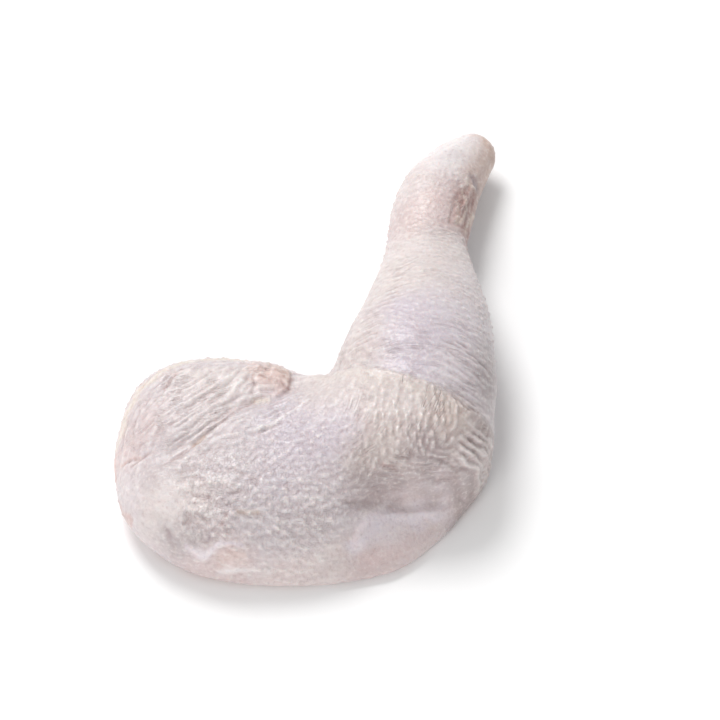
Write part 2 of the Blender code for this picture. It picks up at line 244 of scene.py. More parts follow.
FOLDS = (
    # The long fold between the hip lobe and the thigh, and the fold above it.
    Fold(((-5.3, -5.15), (-4.5, -4.7), (-4.0, -4.25), (-3.1, -3.5), (-2.1, -2.6), (-1.2, -2.1)), 0.65, 0.06),
    Fold(((-5.25, -4.8), (-4.6, -4.4), (-4.15, -4.05), (-3.6, -3.6), (-3.05, -3.2), (-2.5, -2.75),
          (-1.8, -2.25)), 0.55),
    # The other folds of the lobe, from the thigh up to its top edge, with rolls of skin between them.
    Fold(((-4.45, -4.05), (-4.0, -3.6), (-3.5, -3.2), (-3.0, -2.75), (-2.4, -2.25), (-1.95, -2.05)), 0.45),
    Fold(((-4.9, -3.8), (-4.3, -3.35), (-3.7, -2.85), (-3.1, -2.3), (-2.7, -1.85)), 0.5),
    Fold(((-4.6, -3.1), (-4.3, -2.85), (-3.8, -2.5), (-3.3, -2.15), (-2.8, -1.7), (-2.45, -1.35)), 0.5),
    Fold(((-5.25, -2.95), (-4.7, -2.55), (-4.25, -2.3), (-3.8, -2.0), (-3.35, -1.65), (-2.7, -1.1)), 0.5),
    Fold(((-4.7, -2.0), (-4.2, -1.75), (-3.7, -1.35), (-3.3, -0.9)), 0.35, 0.05),
    Fold(((-2.3, -0.75), (-2.6, -1.4), (-3.0, -1.95)), 0.4),
    Fold(((-2.0, -0.9), (-2.15, -1.5), (-2.5, -2.0)), 0.4),
    Fold(((-4.55, -4.55), (-3.85, -3.95), (-3.3, -3.55), (-2.7, -3.1), (-1.9, -2.45)), -0.5),
    Fold(((-4.3, -3.95), (-3.75, -3.45), (-3.2, -3.0), (-2.6, -2.5)), -0.4),
    Fold(((-4.6, -2.75), (-4.0, -2.35), (-3.3, -1.9), (-2.7, -1.4)), -0.35),
    Fold(((-5.15, -1.8), (-4.9, -1.4), (-4.7, -1.05)), 0.5),
    # Its curled end, where the folds meet.
    Fold(((-1.95, -1.3), (-1.85, -1.7), (-2.0, -2.2)), 0.6, 0.06),
    Fold(((-1.75, -0.6), (-1.4, -0.95), (-1.0, -0.95), (-0.75, -1.15)), 0.35),
    Fold(((-1.75, -1.2), (-1.35, -1.4), (-0.95, -1.4), (-0.75, -1.65)), 0.3),
    Fold(((-1.2, -0.7), (-0.8, -0.85), (-0.6, -1.3)), -0.4, 0.08),
    # Slack skin beside it, with painted highlights along its ridges.
    Fold(SLACK_RIDGES[0], -0.7, 0.07),
    Fold(SLACK_RIDGES[1], -0.6, 0.07),
    Fold(((-1.8, -3.5), (-1.2, -3.3), (-0.7, -2.95)), -0.5, 0.06),
    Fold(((-2.0, -4.05), (-1.5, -3.85), (-0.9, -3.6)), 0.4, 0.06),
    Fold(((-1.6, -3.35), (-1.0, -3.1), (-0.5, -2.7)), 0.35, 0.05),
    # Skin that runs beside the outline of the thigh's outer end.
    Fold(((-6.65, -4.35), (-6.35, -4.35), (-5.9, -4.5)), 0.6),
    Fold(((-6.3, -4.65), (-5.9, -4.5), (-5.45, -4.4)), 0.7, 0.06),
    Fold(((-6.0, -2.4), (-6.2, -3.0), (-6.3, -3.7)), 0.45, 0.07),
    Fold(((-6.35, -2.5), (-6.65, -3.3), (-6.75, -4.0)), 0.4, 0.07),
    Fold(((-5.8, -5.2), (-5.75, -6.0), (-5.4, -6.8), (-4.95, -7.2)), 0.2, 0.09),
    Fold(((-6.2, -5.1), (-6.1, -5.95), (-5.6, -6.9)), 0.2, 0.09),
    Fold(((-5.1, -7.1), (-4.9, -7.35), (-4.7, -7.65)), 0.5, 0.07),
    # The lumps and hollows of its lower end.
    Fold(((-4.3, -5.9), (-4.0, -5.95)), -0.9, 0.16),
    Fold(((-3.7, -5.85), (-3.3, -5.95), (-3.1, -6.05)), -0.9, 0.15),
    Fold(((-2.9, -6.0), (-2.5, -6.1)), -0.7, 0.13),
    Fold(((-4.6, -6.75), (-4.25, -6.85)), -0.7, 0.14),
    Fold(((-4.0, -6.3), (-3.4, -6.4), (-2.7, -6.35), (-1.9, -6.4)), 0.6, 0.1),
    Fold(((-4.5, -7.15), (-3.9, -7.1), (-3.2, -7.1)), 0.7, 0.15),
    Fold(((-2.7, -7.15), (-2.0, -7.05), (-1.3, -7.15)), 0.45, 0.09),
    Fold(THREAD, -0.7, 0.07),
    Fold(((-3.2, -8.05), (-2.2, -8.1), (-1.2, -8.1)), -0.45, 0.06),
    Fold(((-3.2, -5.4), (-2.5, -5.55), (-1.9, -5.9), (-1.6, -6.3)), 0.45, 0.09),
    # The hollow above the apron, and a smaller one above the knee.
    Fold(((1.3, -6.5), (1.9, -6.2), (2.6, -5.93), (3.5, -5.72), (4.6, -5.52), (5.5, -5.17)), 1.0, 0.16),
    Fold(((2.8, -5.35), (3.1, -5.4), (3.4, -5.45)), 0.5, 0.05),
    Fold(((2.3, -1.1), (2.75, -1.0), (3.3, -0.85)), 0.4, 0.12),
    # Long ripples over the knee's outer side, and the skin heaped up between them.
    Fold(((5.8, -3.95), (6.15, -4.02), (6.5, -3.92), (6.85, -3.62), (7.3, -3.3)), 0.5),
    Fold(((5.55, -4.22), (6.0, -4.28), (6.4, -4.14), (6.85, -3.82), (7.3, -3.52)), 0.6),
    Fold(((5.35, -4.5), (5.9, -4.54), (6.35, -4.38), (6.75, -4.07), (7.2, -3.78)), 0.6),
    Fold(((5.3, -4.73), (5.85, -4.77), (6.25, -4.59), (6.65, -4.3), (7.1, -4.02)), 0.5),
    Fold(((5.3, -4.95), (5.8, -4.98), (6.2, -4.82), (6.55, -4.56), (7.0, -4.3)), 0.45),
    *(Fold(path, -0.5) for path in RIPPLES),
    Fold(((4.2, -5.45), (4.85, -5.4), (5.35, -5.25), (5.95, -5.15)), 0.4, 0.05),
    Fold(((4.8, -5.05), (5.35, -5.1), (5.9, -4.95)), 0.45, 0.05),
    # The hock's tendons, and the hollows beside them.
    Fold(TENDONS[0], -0.5, 0.06),
    Fold(TENDONS[1], -0.45, 0.06),
    Fold(TENDONS[2], -0.3, 0.05),
    Fold(((5.75, 7.6), (5.45, 7.0), (5.35, 6.6), (5.3, 6.1)), 0.4, 0.07),
    Fold(((6.1, 7.95), (6.1, 7.5), (5.9, 6.9), (5.75, 6.4)), 0.55, 0.08),
    Fold(((6.0, 8.7), (6.25, 8.4), (6.4, 8.1)), 0.5, 0.09),
    Fold(((6.45, 7.6), (6.6, 8.3), (6.75, 9.2)), 0.35, 0.07),
)


def fan(first, last, count, width, depth, loose, seed):
    """Folds side by side between two given ones, each a little different from its neighbours."""
    draw = np.random.default_rng(seed)
    first, last = np.array(first), np.array(last)
    folds = []
    for i in range(count):
        path = first + (last - first) * (i / (count - 1))
        path = path + draw.normal(0, loose, path.shape)
        start, end = draw.uniform((0, 0.6), (0.4, 1))
        share = np.linspace(start, end, len(path)) * (len(path) - 1)
        path = np.stack([np.interp(share, np.arange(len(path)), path[:, k]) for k in (0, 1)], 1)
        folds.append(Fold(tuple(map(tuple, path)), depth * draw.uniform(0.5, 1.3), width))
    return folds


FANS = (
    # Fine folds between the long ones of the hip lobe, and across its top.
    fan(((-5.3, -4.8), (-4.2, -4.2), (-2.9, -3.15), (-1.7, -2.1)),
        ((-5.4, -2.4), (-4.5, -2.0), (-3.6, -1.3), (-2.7, -0.6)), 14, 0.05, 0.45, 0.04, 1),
    fan(((-6.3, -4.1), (-5.6, -3.7), (-4.8, -3.1), (-4.0, -2.6)),
        ((-6.0, -2.0), (-5.5, -1.5), (-4.8, -0.9), (-4.0, -0.5)), 12, 0.05, 0.4, 0.07, 2),
    # Slack skin between the lobe and the thigh, with painted highlights along its ridges.
    fan(((-2.2, -3.9), (-1.4, -3.55), (-0.6, -3.1)),
        ((-1.2, -2.4), (-0.5, -2.05), (0.3, -1.7)), 8, 0.055, -0.45, 0.06, 3),
    # The outer side of the bend, where the drumstick's skin goes under the thigh's.
    fan(((4.5, -0.7), (5.5, -0.95), (6.8, -1.3)),
        ((4.9, -2.9), (5.8, -3.3), (6.8, -3.5)), 14, 0.05, 0.4, 0.04, 4),
    # Ripples below the knee.
    fan(((3.3, -4.9), (4.5, -5.0), (5.6, -4.95)),
        ((3.2, -5.6), (4.4, -5.55), (5.5, -5.25)), 8, 0.045, 0.35, 0.05, 5),
    # The drumstick's left side.
    fan(((2.3, 0.95), (3.0, 1.1), (3.8, 1.25)),
        ((2.9, 3.4), (3.5, 3.7), (4.2, 4.1)), 11, 0.045, 0.4, 0.05, 6),
    fan(((1.4, -0.7), (2.0, -0.65), (2.8, -0.6)),
        ((2.0, 0.9), (2.6, 1.0), (3.3, 1.1)), 12, 0.045, 0.35, 0.05, 7),
    # The neck above the calf.
    fan(((4.3, 4.9), (5.0, 4.9), (5.8, 5.0)),
        ((4.6, 6.2), (5.3, 6.2), (5.9, 6.2)), 8, 0.05, 0.25, 0.04, 8),
)

GRAINS = (
    # Hip lobe, its top edge and the skin at the outline.
    Grain((-3.6, -2.6), 1.7, 40, 1.7, 4, 0.14, 0.12),
    Grain((-4.9, -1.5), 1.1, 50, 1.7, 3, 0.2, 0.35, 2.4),
    Grain((-2.2, -1.0), 0.9, 30, 1.7, 3, 0.22, 0.3, 2.4),
    Grain((-6.3, -3.6), 1.0, 80, 1.9, 5, 0.12, 0.15),
    Grain((-1.2, -1.4), 0.6, -30, 1.4, 2.5, 0.25, 0.2, 2.2),
    # Middle of the thigh, its lumpy lower end and the edge below it.
    Grain((-1.0, -3.6), 1.3, 28, 1.5, 1.5, 0.15, 0.22, 2.2),
    Grain((0.4, -4.6), 1.4, 4, 1.4, 1.3, 0.16, 0.2, 2.0),
    Grain((-2.2, -4.9), 1.3, 12, 1.5, 1.4, 0.18, 0.3, 2.2),
    Grain((-1.0, -6.4), 1.6, -10, 1.5, 1.8, 0.22, 0.55, 2.4),
    Grain((-3.4, -6.4), 1.1, -15, 1.9, 2, 0.3, 0.7, 2.8),
    Grain((-5.1, -6.3), 0.9, -40, 2.4, 3, 0.06, 0.04, 3.0),
    Grain((-2.0, -7.8), 1.0, -5, 1.6, 2.6, 0.18, 0.6, 2.4),
    # The fatty skin over the knee.
    Grain((0.8, -2.2), 1.1, 62, 1.9, 2, 0.05, 0.15, 2.8),
    Grain((2.6, -2.6), 0.6, 86, 1.8, 2.5, 0.08, 0.3, 2.6),
    Grain((4.2, -3.2), 0.5, 100, 1.6, 2.5, 0.15, 0.6, 2.4),
    Grain((2.4, -3.9), 1.2, 84, 1.4, 3, 0.19, 0.7, 2.2),
    Grain((4.4, -4.2), 1.0, 96, 1.4, 3, 0.2, 0.8, 2.3),
    Grain((6.0, -4.4), 0.7, 30, 1.6, 4, 0.2, 0.05),
    # The hollow below the knee, and the smooth apron.
    Grain((2.0, -5.1), 0.8, 76, 1.4, 2.4, 0.17, 0.45, 2.1),
    Grain((3.3, -5.6), 0.7, -8, 1.5, 3, 0.18, 0.25, 2.3),
    Grain((5.0, -5.3), 0.7, 4, 1.3, 5, 0.26, 0.05),
    Grain((3.6, -7.1), 1.5, 18, 2.4, 6, 0.03, 0.0),
    Grain((5.2, -6.0), 0.8, 30, 2.4, 6, 0.03, 0.0),
)
SHANK_GRAINS = (
    # Drumstick: left side, middle, outer side.
    Grain((2.3, 0.0), 1.3, 4, 1.5, 3, 0.16, 0.15, 2.2),
    Grain((3.0, 2.2), 1.2, 18, 1.5, 3.5, 0.12, 0.1, 2.2),
    Grain((3.9, 0.6), 1.2, 4, 1.4, 2.2, 0.04, 0.22, 2.5),
    Grain((4.6, -1.4), 1.1, -24, 1.5, 4, 0.1, 0.1),
    Grain((6.1, -1.2), 1.3, -34, 1.4, 4, 0.18, 0.15),
    Grain((5.8, 1.6), 1.3, -22, 1.6, 2.2, 0.08, 0.5, 2.6),
    Grain((4.6, 3.4), 1.2, -6, 1.5, 3, 0.07, 0.12),
    Grain((5.6, 5.4), 0.7, -12, 1.3, 2.5, 0.2, 0.1),
    # Ankle and hock.
    Grain((4.3, 6.2), 1.2, 6, 1.3, 1.8, 0.12, 0.4, 1.7),
    Grain((4.6, 8.0), 1.2, 30, 1.3, 1.9, 0.1, 0.35, 1.7),
    Grain((5.6, 9.9), 1.0, 30, 1.8, 3, 0.05, 0.08, 2.2),
    Grain((6.1, 7.4), 0.9, 62, 1.4, 2.2, 0.32, 0.15, 1.9),
)
# Where no grain is near, on the far side, the skin has this one faintly.
GRAIN_ELSEWHERE = Grain((0, 0), 0, 10, 1.7, 2.2, 0.12, 0.45, 2.9)


def tints(colour, *places):
    """Patches of one colour: each place is a plan x, a plan y and a reach."""
    return [Tint((x, y), reach, colour) for x, y, reach in places]


# The thigh with its hip lobe and the knee, then the drumstick.
TINTS = (
    *tints(CREAM, (-3.8, -1.4, 1.4), (-4.1, -6.5, 0.7), (-5.0, -6.4, 1.0), (0.9, -8.1, 0.7)),
    *tints(GREY, (-4.6, -2.9, 0.7), (-6.3, -2.7, 0.6), (-5.4, -1.6, 0.6), (-5.4, -4.4, 0.6),
           (-2.3, -3.4, 0.5), (-1.0, -6.6, 1.6), (-2.9, -5.3, 0.8)),
    *tints(CREAM_WHITE, (-3.1, -1.6, 0.6)),
    *tints(DIM_PALE, (-3.2, -2.9, 1.2)),
    *tints(DEEP_GREY, (-4.3, -3.8, 0.9), (-5.5, -5.3, 0.5), (-3.3, -4.4, 0.8), (-4.9, -5.2, 0.7),
           (-4.3, -7.6, 0.7)),
    *tints(PINK, (-6.2, -3.2, 1.1), (-3.0, -8.1, 0.9)),
    *tints(PALE, (-6.4, -5.4, 0.8), (-3.0, -5.0, 1.5), (0.4, -6.3, 0.8), (0.0, -7.1, 0.9)),
    *tints(FATTY_PINK, (-1.4, -1.0, 0.5)),
    *tints(COOL_LAVENDER, (-0.6, -4.4, 1.6), (-0.8, -6.0, 0.8), (1.2, -4.4, 0.7)),
    *tints(DEEP_LAVENDER, (-0.9, -3.4, 0.7), (-0.7, -4.4, 0.6)),
    *tints(BROWN_GREY, (2.0, -5.2, 0.7), (2.8, -4.7, 0.9)),
    *tints(FAT_CREAM, (0.6, -2.3, 1.0), (2.5, -3.0, 1.2), (3.9, -3.3, 0.7)),
    *tints(WARM_CREAM, (5.1, -3.8, 0.7)),
    *tints(WARM_GREY, (5.8, -4.4, 0.6), (6.7, -4.2, 0.5)),
    # Painted shade down the knee's outer edge.
    *tints(PAINTED_WARM_SHADE, (6.6, -3.1, 0.6), (6.9, -3.5, 0.7), (6.75, -4.4, 0.6), (6.5, -4.8, 0.8)),
    # Painted shade in the hollow above the apron.
    *tints(HOLLOW_SHADE, (2.4, -5.7, 0.6), (4.2, -5.1, 0.7), (5.5, -5.4, 0.8)),
    *tints(PALE_PINK, (-0.3, -8.4, 0.9), (3.6, -7.0, 1.0), (4.5, -6.7, 0.5)),
    *tints(DIM_PINK, (2.0, -8.0, 0.9), (3.2, -7.8, 0.6)),
    *tints(LIGHT_LAVENDER, (3.2, -6.7, 0.6), (4.3, -6.3, 0.5)),
)
SHANK_TINTS = (
    *tints(FAT_CREAM, (2.0, -0.4, 1.0), (3.0, 2.8, 1.2)),
    *tints(LAVENDER, (4.2, 0.0, 1.4)),
    *tints(DEEP_LAVENDER, (3.8, -0.8, 0.8)),
    *tints(CREAM, (4.5, 2.8, 1.1), (4.3, 4.9, 1.0), (3.6, 8.0, 0.8)),
    *tints(DEEP_GREY, (6.7, -1.0, 0.8)),
    *tints(LIGHT_LAVENDER, (5.4, -1.6, 0.8), (5.4, 0.8, 1.1)),
    *tints(PALE, (6.0, 2.2, 1.0)),
    *tints(DIM_PINK, (4.3, 6.7, 1.1)),
    *tints(PALE_PINK, (4.6, 6.9, 0.5)),
    *tints(WHITE_FAT, (5.1, 9.9, 0.85)),
    *tints(HOCK_BROWN, (5.95, 7.0, 0.5)),
    *tints(TAN, (6.7, 9.0, 0.75)),
)

# The seams between the muscles on the bare inner side, and the sawn end, as in the solid.
MUSCLE_SEAMS = (
    ((-5.3, -3.0), (-2.6, -3.3), (0.4, -2.9), (3.2, -3.2), (4.9, -3.9)),
    ((-4.9, -5.4), (-2.2, -5.1), (0.8, -5.5), (3.2, -5.2)),
)
SEAM_WIDTH = 0.22
CUT_CENTRE = (6.28, 10.56, 0.68)
CUT_FACES = (0.45, 0.65, -0.6)
CUT_HOLLOW = 0.6
CUT_HOLLOW_DEPTH = 0.18
KNUCKLE = 0.34
KNUCKLE_APART = 0.26

STAINS_AND_PAINTED_LIGHT = (
    # The lobe's pale rim, its reddish mark, and the flesh that shows through at the deep folds.
    StainOrPaintedLight(((-6.8, -3.0), (-6.4, -1.9), (-5.7, -1.1), (-4.8, -0.45), (-3.4, -0.15), (-2.0, -0.2)), 0.16,
          YELLOW_CREAM, 0.8),
    StainOrPaintedLight(((-5.15, -1.75), (-4.9, -1.4), (-4.7, -1.05)), 0.07, RED_BROWN, 0.5),
    StainOrPaintedLight(((-4.05, -4.3), (-3.85, -4.15), (-3.65, -3.95)), 0.06, OCHRE, 0.9),
    StainOrPaintedLight(((-5.0, -5.0), (-4.5, -4.7), (-4.0, -4.25)), 0.045, RED_BROWN, 0.25),
    StainOrPaintedLight(((-6.65, -4.3), (-6.3, -4.3), (-5.95, -4.45)), 0.05, ORANGE_FLESH, 0.3),
    StainOrPaintedLight(((-6.25, -4.65), (-5.9, -4.5), (-5.5, -4.45)), 0.05, RED_BROWN, 0.35),
    StainOrPaintedLight(((-3.1, -3.45), (-2.5, -2.85), (-1.75, -2.4)), 0.09, FLESHY, 0.35),
    # Its curled end, and the lumps of fat beside it.
    StainOrPaintedLight(((-2.0, -0.65), (-1.4, -0.75), (-0.95, -1.1), (-0.85, -1.6), (-1.1, -1.9)), 0.3, FATTY_PINK, 0.4),
    StainOrPaintedLight(((-1.3, -0.65), (-0.85, -0.95), (-0.7, -1.4)), 0.14, TAN, 0.7),
    StainOrPaintedLight(((-1.75, -0.7), (-1.4, -0.95), (-1.05, -1.0), (-0.85, -1.2)), 0.05, RED_BROWN, 0.35),
    StainOrPaintedLight(((-1.75, -1.2), (-1.35, -1.4), (-1.0, -1.45), (-0.8, -1.65)), 0.05, RED_BROWN, 0.35),
    StainOrPaintedLight(((-0.55, -1.2), (-0.62, -1.55), (-0.85, -1.85), (-1.1, -2.1)), 0.055, RED_BROWN, 0.55),
    StainOrPaintedLight(((-1.85, -2.45), (-1.6, -2.4), (-1.4, -2.4)), 0.13, YELLOW_CREAM, 0.7),
    StainOrPaintedLight(((-0.5, -1.4), (-0.15, -1.35), (0.25, -1.45)), 0.12, WHITE_FAT, 0.6),
    StainOrPaintedLight(((-0.5, -1.0), (-0.15, -1.05), (0.2, -1.1)), 0.08, WHITE_FAT, 0.7),
    StainOrPaintedLight(SLACK_RIDGES[0], 0.07, WHITE_FAT, 0.9),
    StainOrPaintedLight(SLACK_RIDGES[1], 0.07, WHITE_FAT, 0.7),
    # Marks on the thigh's lower end, a painted highlight on a lump there, and a thin bright thread.
    StainOrPaintedLight(((-4.5, -5.9), (-3.9, -5.9), (-3.2, -5.95), (-2.6, -6.1)), 0.16, CREAM, 0.5),
    # A painted highlight on the round lump at the thigh's lower end.
    StainOrPaintedLight(((-5.0, -6.2), (-4.8, -6.5)), 0.3, WHITE_FAT, 0.5),
    StainOrPaintedLight(((-2.4, -6.95), (-1.7, -6.95)), 0.08, OCHRE, 0.55),
    StainOrPaintedLight(((-2.95, -6.55), (-2.8, -6.4)), 0.05, GREY_VIOLET, 0.9),
    StainOrPaintedLight(((-3.0, -7.3), (-2.8, -7.0)), 0.05, RED_BROWN, 0.5),
    StainOrPaintedLight(((-3.45, -7.6), (-3.35, -7.5)), 0.05, GREY_VIOLET, 0.9),
    StainOrPaintedLight(((-5.05, -7.1), (-4.85, -7.4)), 0.05, GREY_VIOLET, 0.4),
    StainOrPaintedLight(THREAD, 0.05, BRIGHT_LAVENDER, 0.9),
    StainOrPaintedLight(((-3.1, -7.95), (-2.2, -8.0)), 0.1, FATTY_PINK, 0.55),
    StainOrPaintedLight(((-3.2, -8.1), (-2.2, -8.15), (-1.2, -8.15)), 0.04, WHITE_FAT, 0.7),
    StainOrPaintedLight(((2.75, -5.3), (3.1, -5.4), (3.45, -5.5)), 0.04, RED_BROWN, 0.6),
    # Painted shade in the hollow above the apron, a painted highlight along the apron's upper edge, and its
    # pinker patches.
    StainOrPaintedLight(((1.4, -6.35), (2.2, -6.0), (2.95, -5.75), (3.65, -5.6), (4.75, -5.45), (5.6, -5.1)), 0.16,
          HOLLOW_SHADE, 0.5),
    StainOrPaintedLight(((2.2, -6.0), (2.7, -5.75), (3.2, -5.6)), 0.24, HOLLOW_SHADE, 0.7),
    # Painted highlight along the apron's upper edge.
    StainOrPaintedLight(((1.75, -7.35), (2.1, -6.9), (2.6, -6.45), (3.1, -6.2), (4.1, -6.0), (5.1, -5.68)), 0.26,
          BRIGHT_LAVENDER, 0.9),
    StainOrPaintedLight(((2.2, -7.7), (3.3, -7.15), (4.3, -6.5)), 0.35, FLESHY, 0.45),
    StainOrPaintedLight(((4.6, -6.2), (5.4, -5.6)), 0.25, TAN, 0.45),
    # The thigh's edge, where flesh shows below the skin.
    StainOrPaintedLight(((-6.95, -3.4), (-7.0, -4.0), (-6.95, -4.3)), 0.1, ORANGE_FLESH, 0.6),
    StainOrPaintedLight(((-6.8, -5.3), (-6.6, -5.9), (-6.25, -6.4)), 0.05, ORANGE_FLESH, 0.45),
    # The fat along the crest, painted highlights along the knee's ripples, and painted shade down the knee's
    # outer edge.
    StainOrPaintedLight(((0.2, -1.3), (0.9, -1.5), (1.6, -1.9), (2.5, -2.4), (3.5, -2.8), (4.6, -3.2), (5.6, -3.8)), 0.28,
          YELLOW_CREAM, 0.2),
    # Painted highlights along the ripples' ridges.
    *(StainOrPaintedLight(path, 0.05, CREAM, 0.8) for path in RIPPLES),
    # Painted shade down the knee's outer edge.
    StainOrPaintedLight(((7.0, -3.0), (6.95, -3.9), (6.75, -4.6), (6.3, -5.2)), 0.3, PAINTED_WARM_SHADE, 0.4),
    # The hock: brown hollows among cream tendons, and reddish painted shadow down the right edge of the neck
    # below them.
    StainOrPaintedLight(((6.15, 8.0), (6.0, 7.5), (5.75, 6.8), (5.7, 6.2)), 0.28, HOCK_BROWN, 0.75),
    StainOrPaintedLight(((5.75, 7.55), (5.5, 7.0), (5.35, 6.55), (5.3, 6.1)), 0.14, HOCK_BROWN, 0.4),
    StainOrPaintedLight(((5.95, 7.7), (5.8, 7.2), (5.7, 6.7)), 0.14, RED_BROWN, 0.6),
    StainOrPaintedLight(((6.2, 7.7), (6.08, 7.2), (5.95, 6.7)), 0.06, RED_BROWN, 0.5),
    StainOrPaintedLight(TENDONS[0], 0.05, YELLOW_CREAM, 0.6),
    StainOrPaintedLight(TENDONS[1], 0.045, YELLOW_CREAM, 0.6),
    StainOrPaintedLight(TENDONS[2], 0.04, YELLOW_CREAM, 0.45),
    # Reddish-brown painted shadow down the neck's right edge.
    StainOrPaintedLight(((6.05, 6.4), (5.98, 5.85)), 0.15, RED_BROWN, 0.95),
    StainOrPaintedLight(((5.98, 5.9), (6.0, 5.3)), 0.13, RED_BROWN, 0.6),
    StainOrPaintedLight(((6.02, 5.4), (6.15, 4.5)), 0.11, HOCK_BROWN, 0.25),
    StainOrPaintedLight(((6.1, 8.65), (6.25, 8.35), (6.4, 8.1)), 0.15, DUSKY, 0.95),
    StainOrPaintedLight(((6.0, 8.75), (6.25, 8.85)), 0.12, TAN, 0.6),
    StainOrPaintedLight(((6.18, 8.42), (6.28, 8.3)), 0.06, GREY_VIOLET, 0.7),
    StainOrPaintedLight(((6.35, 7.4), (6.65, 8.2), (6.85, 9.0)), 0.25, HOCK_BROWN, 0.5),
    # Tan skin along the tip's right side, darker there with painted shade.
    StainOrPaintedLight(((6.6, 10.8), (6.9, 10.1), (6.95, 9.4), (6.8, 8.6)), 0.3, ORANGE_TAN, 0.8),
    StainOrPaintedLight(((3.8, 5.6), (4.1, 6.4), (4.5, 7.0)), 0.45, FATTY_PINK, 0.3),
    StainOrPaintedLight(((5.2, 6.2), (5.0, 7.2)), 0.35, FLESHY, 0.3),
    StainOrPaintedLight(((5.0, 9.2), (5.7, 9.4)), 0.35, GREY, 0.5),
)


def on_plan(places):
    """Places in metres as plan x, plan y and height, in plan units."""
    return (places - PLAN_ZERO) / PLAN_UNIT


def smooth_path(points, steps=8):
    """Points along one smooth curve through the given ones (Catmull-Rom)."""
    p = np.array(points, float)
    p = np.vstack([2 * p[0] - p[1], p, 2 * p[-1] - p[-2]])
    t = np.linspace(0, 1, steps, endpoint=False)[:, None]
    runs = []
    for a, b, c, d in zip(p[:-3], p[1:-2], p[2:-1], p[3:]):
        bend = t * (2 * a - 5 * b + 4 * c - d + t * (3 * (b - c) + d - a))
        runs.append(b + t / 2 * (c - a + bend))
    return np.vstack([*runs, p[-2:-1]])


def along(points, path):
    """For each point on the plan: its distance to the path, positive to the right of it, and its
    share of the way along it."""
    nearest = np.full(len(points), np.inf)
    place = np.zeros(len(points))
    side = np.ones(len(points))
    for i, (a, b) in enumerate(zip(path[:-1], path[1:])):
        run = b - a
        share = np.clip((points - a) @ run / (run @ run), 0, 1)
        gap = np.linalg.norm(points - a - share[:, None] * run, axis=1)
        closer = gap < nearest
        nearest[closer] = gap[closer]
        place[closer] = i + share[closer]
        offset = points[closer] - a
        side[closer] = np.sign(offset[:, 0] * run[1] - offset[:, 1] * run[0])
    return nearest * side, place / (len(path) - 1)


def step_up(value, low, high):
    """0 below low, 1 above high, and smooth between."""
    t = np.clip((value - low) / (high - low), 0, 1)
    return t * t * (3 - 2 * t)


def bell(value, width):
    """1 at zero, falling away smoothly within about the width."""
    return np.exp(-((value / width) ** 2))


def waver(plan):
    """A smooth uneven value from -1 to 1 at each place, which rises and falls about every 8 mm."""
    x, y, z = plan.T
    slow = np.sin(4.1 * x + 2.3 * y + 3.7 * z + 1.7 * np.sin(2.6 * y - 3.1 * z))
    quick = np.sin(7.3 * y - 5.9 * x + 6.1 * z + 1.3 * np.sin(3.3 * x))
    return 0.6 * slow + 0.4 * quick


def unit(vectors):
    return vectors / np.maximum(np.linalg.norm(vectors, axis=-1, keepdims=True), 1e-12)


def near_pairs(places, centres, reach):
    """Index pairs of each centre and the places in the cells round it, cell by cell."""
    cell = np.floor(places / reach).astype(np.int64)
    lowest = cell.min(0) - 2
    size = cell.max(0) - lowest + 3
    weight = np.array((size[1] * size[2], size[2], 1))
    key = (cell - lowest) @ weight
    order = np.argsort(key, kind="stable")
    key = key[order]
    home = np.floor(centres / reach).astype(np.int64) - lowest
    for step in np.ndindex(3, 3, 3):
        wanted = (home + np.array(step) - 1) @ weight
        first = np.searchsorted(key, wanted, "left")
        count = np.searchsorted(key, wanted, "right") - first
        before = np.cumsum(count) - count
        centre = np.repeat(np.arange(len(centres)), count)
        yield centre, order[np.arange(count.sum()) + np.repeat(first - before, count)]


def keep_apart(places, gaps, draw):
    """Indices of places, drawn at random, that lie at least their own gap apart."""
    turn = draw.permutation(len(places))
    waiting = np.ones(len(places), bool)
    kept = np.zeros(len(places), bool)
    reach = gaps.max()
    for _ in range(CHOOSING_ROUNDS):
        left = np.flatnonzero(waiting)
        best = np.ones(len(left), bool)
        blocked = np.zeros(len(left), bool)
        for first, second in near_pairs(places[left], places[left], reach):
            a, b = left[first], left[second]
            close = (np.linalg.norm(places[a] - places[b], axis=1) < gaps[a]) & (a != b)
            best[first[close & (turn[b] < turn[a])]] = False
        kept[left[best]] = True
        chosen = left[best]
        for first, second in near_pairs(places[left], places[chosen], reach):
            a, b = chosen[first], left[second]
            close = np.linalg.norm(places[a] - places[b], axis=1) < gaps[a]
            blocked[second[close]] = True
        waiting[left[blocked | best]] = False
    return np.flatnonzero(kept)


def numbers(elements, name, width, kind=float):
    """One property of all of a mesh's elements, as rows of that width."""
    values = np.empty(len(elements) * width, kind)
    elements.foreach_get(name, values)
    return values.reshape(-1, width)


def finished_mesh(name, bm):
    mesh = bpy.data.meshes.new(name)
    bm.to_mesh(mesh)
    bm.free()
    return mesh


def add_object(name, data):
    obj = bpy.data.objects.new(name, data)
    bpy.context.scene.collection.objects.link(obj)
    return obj


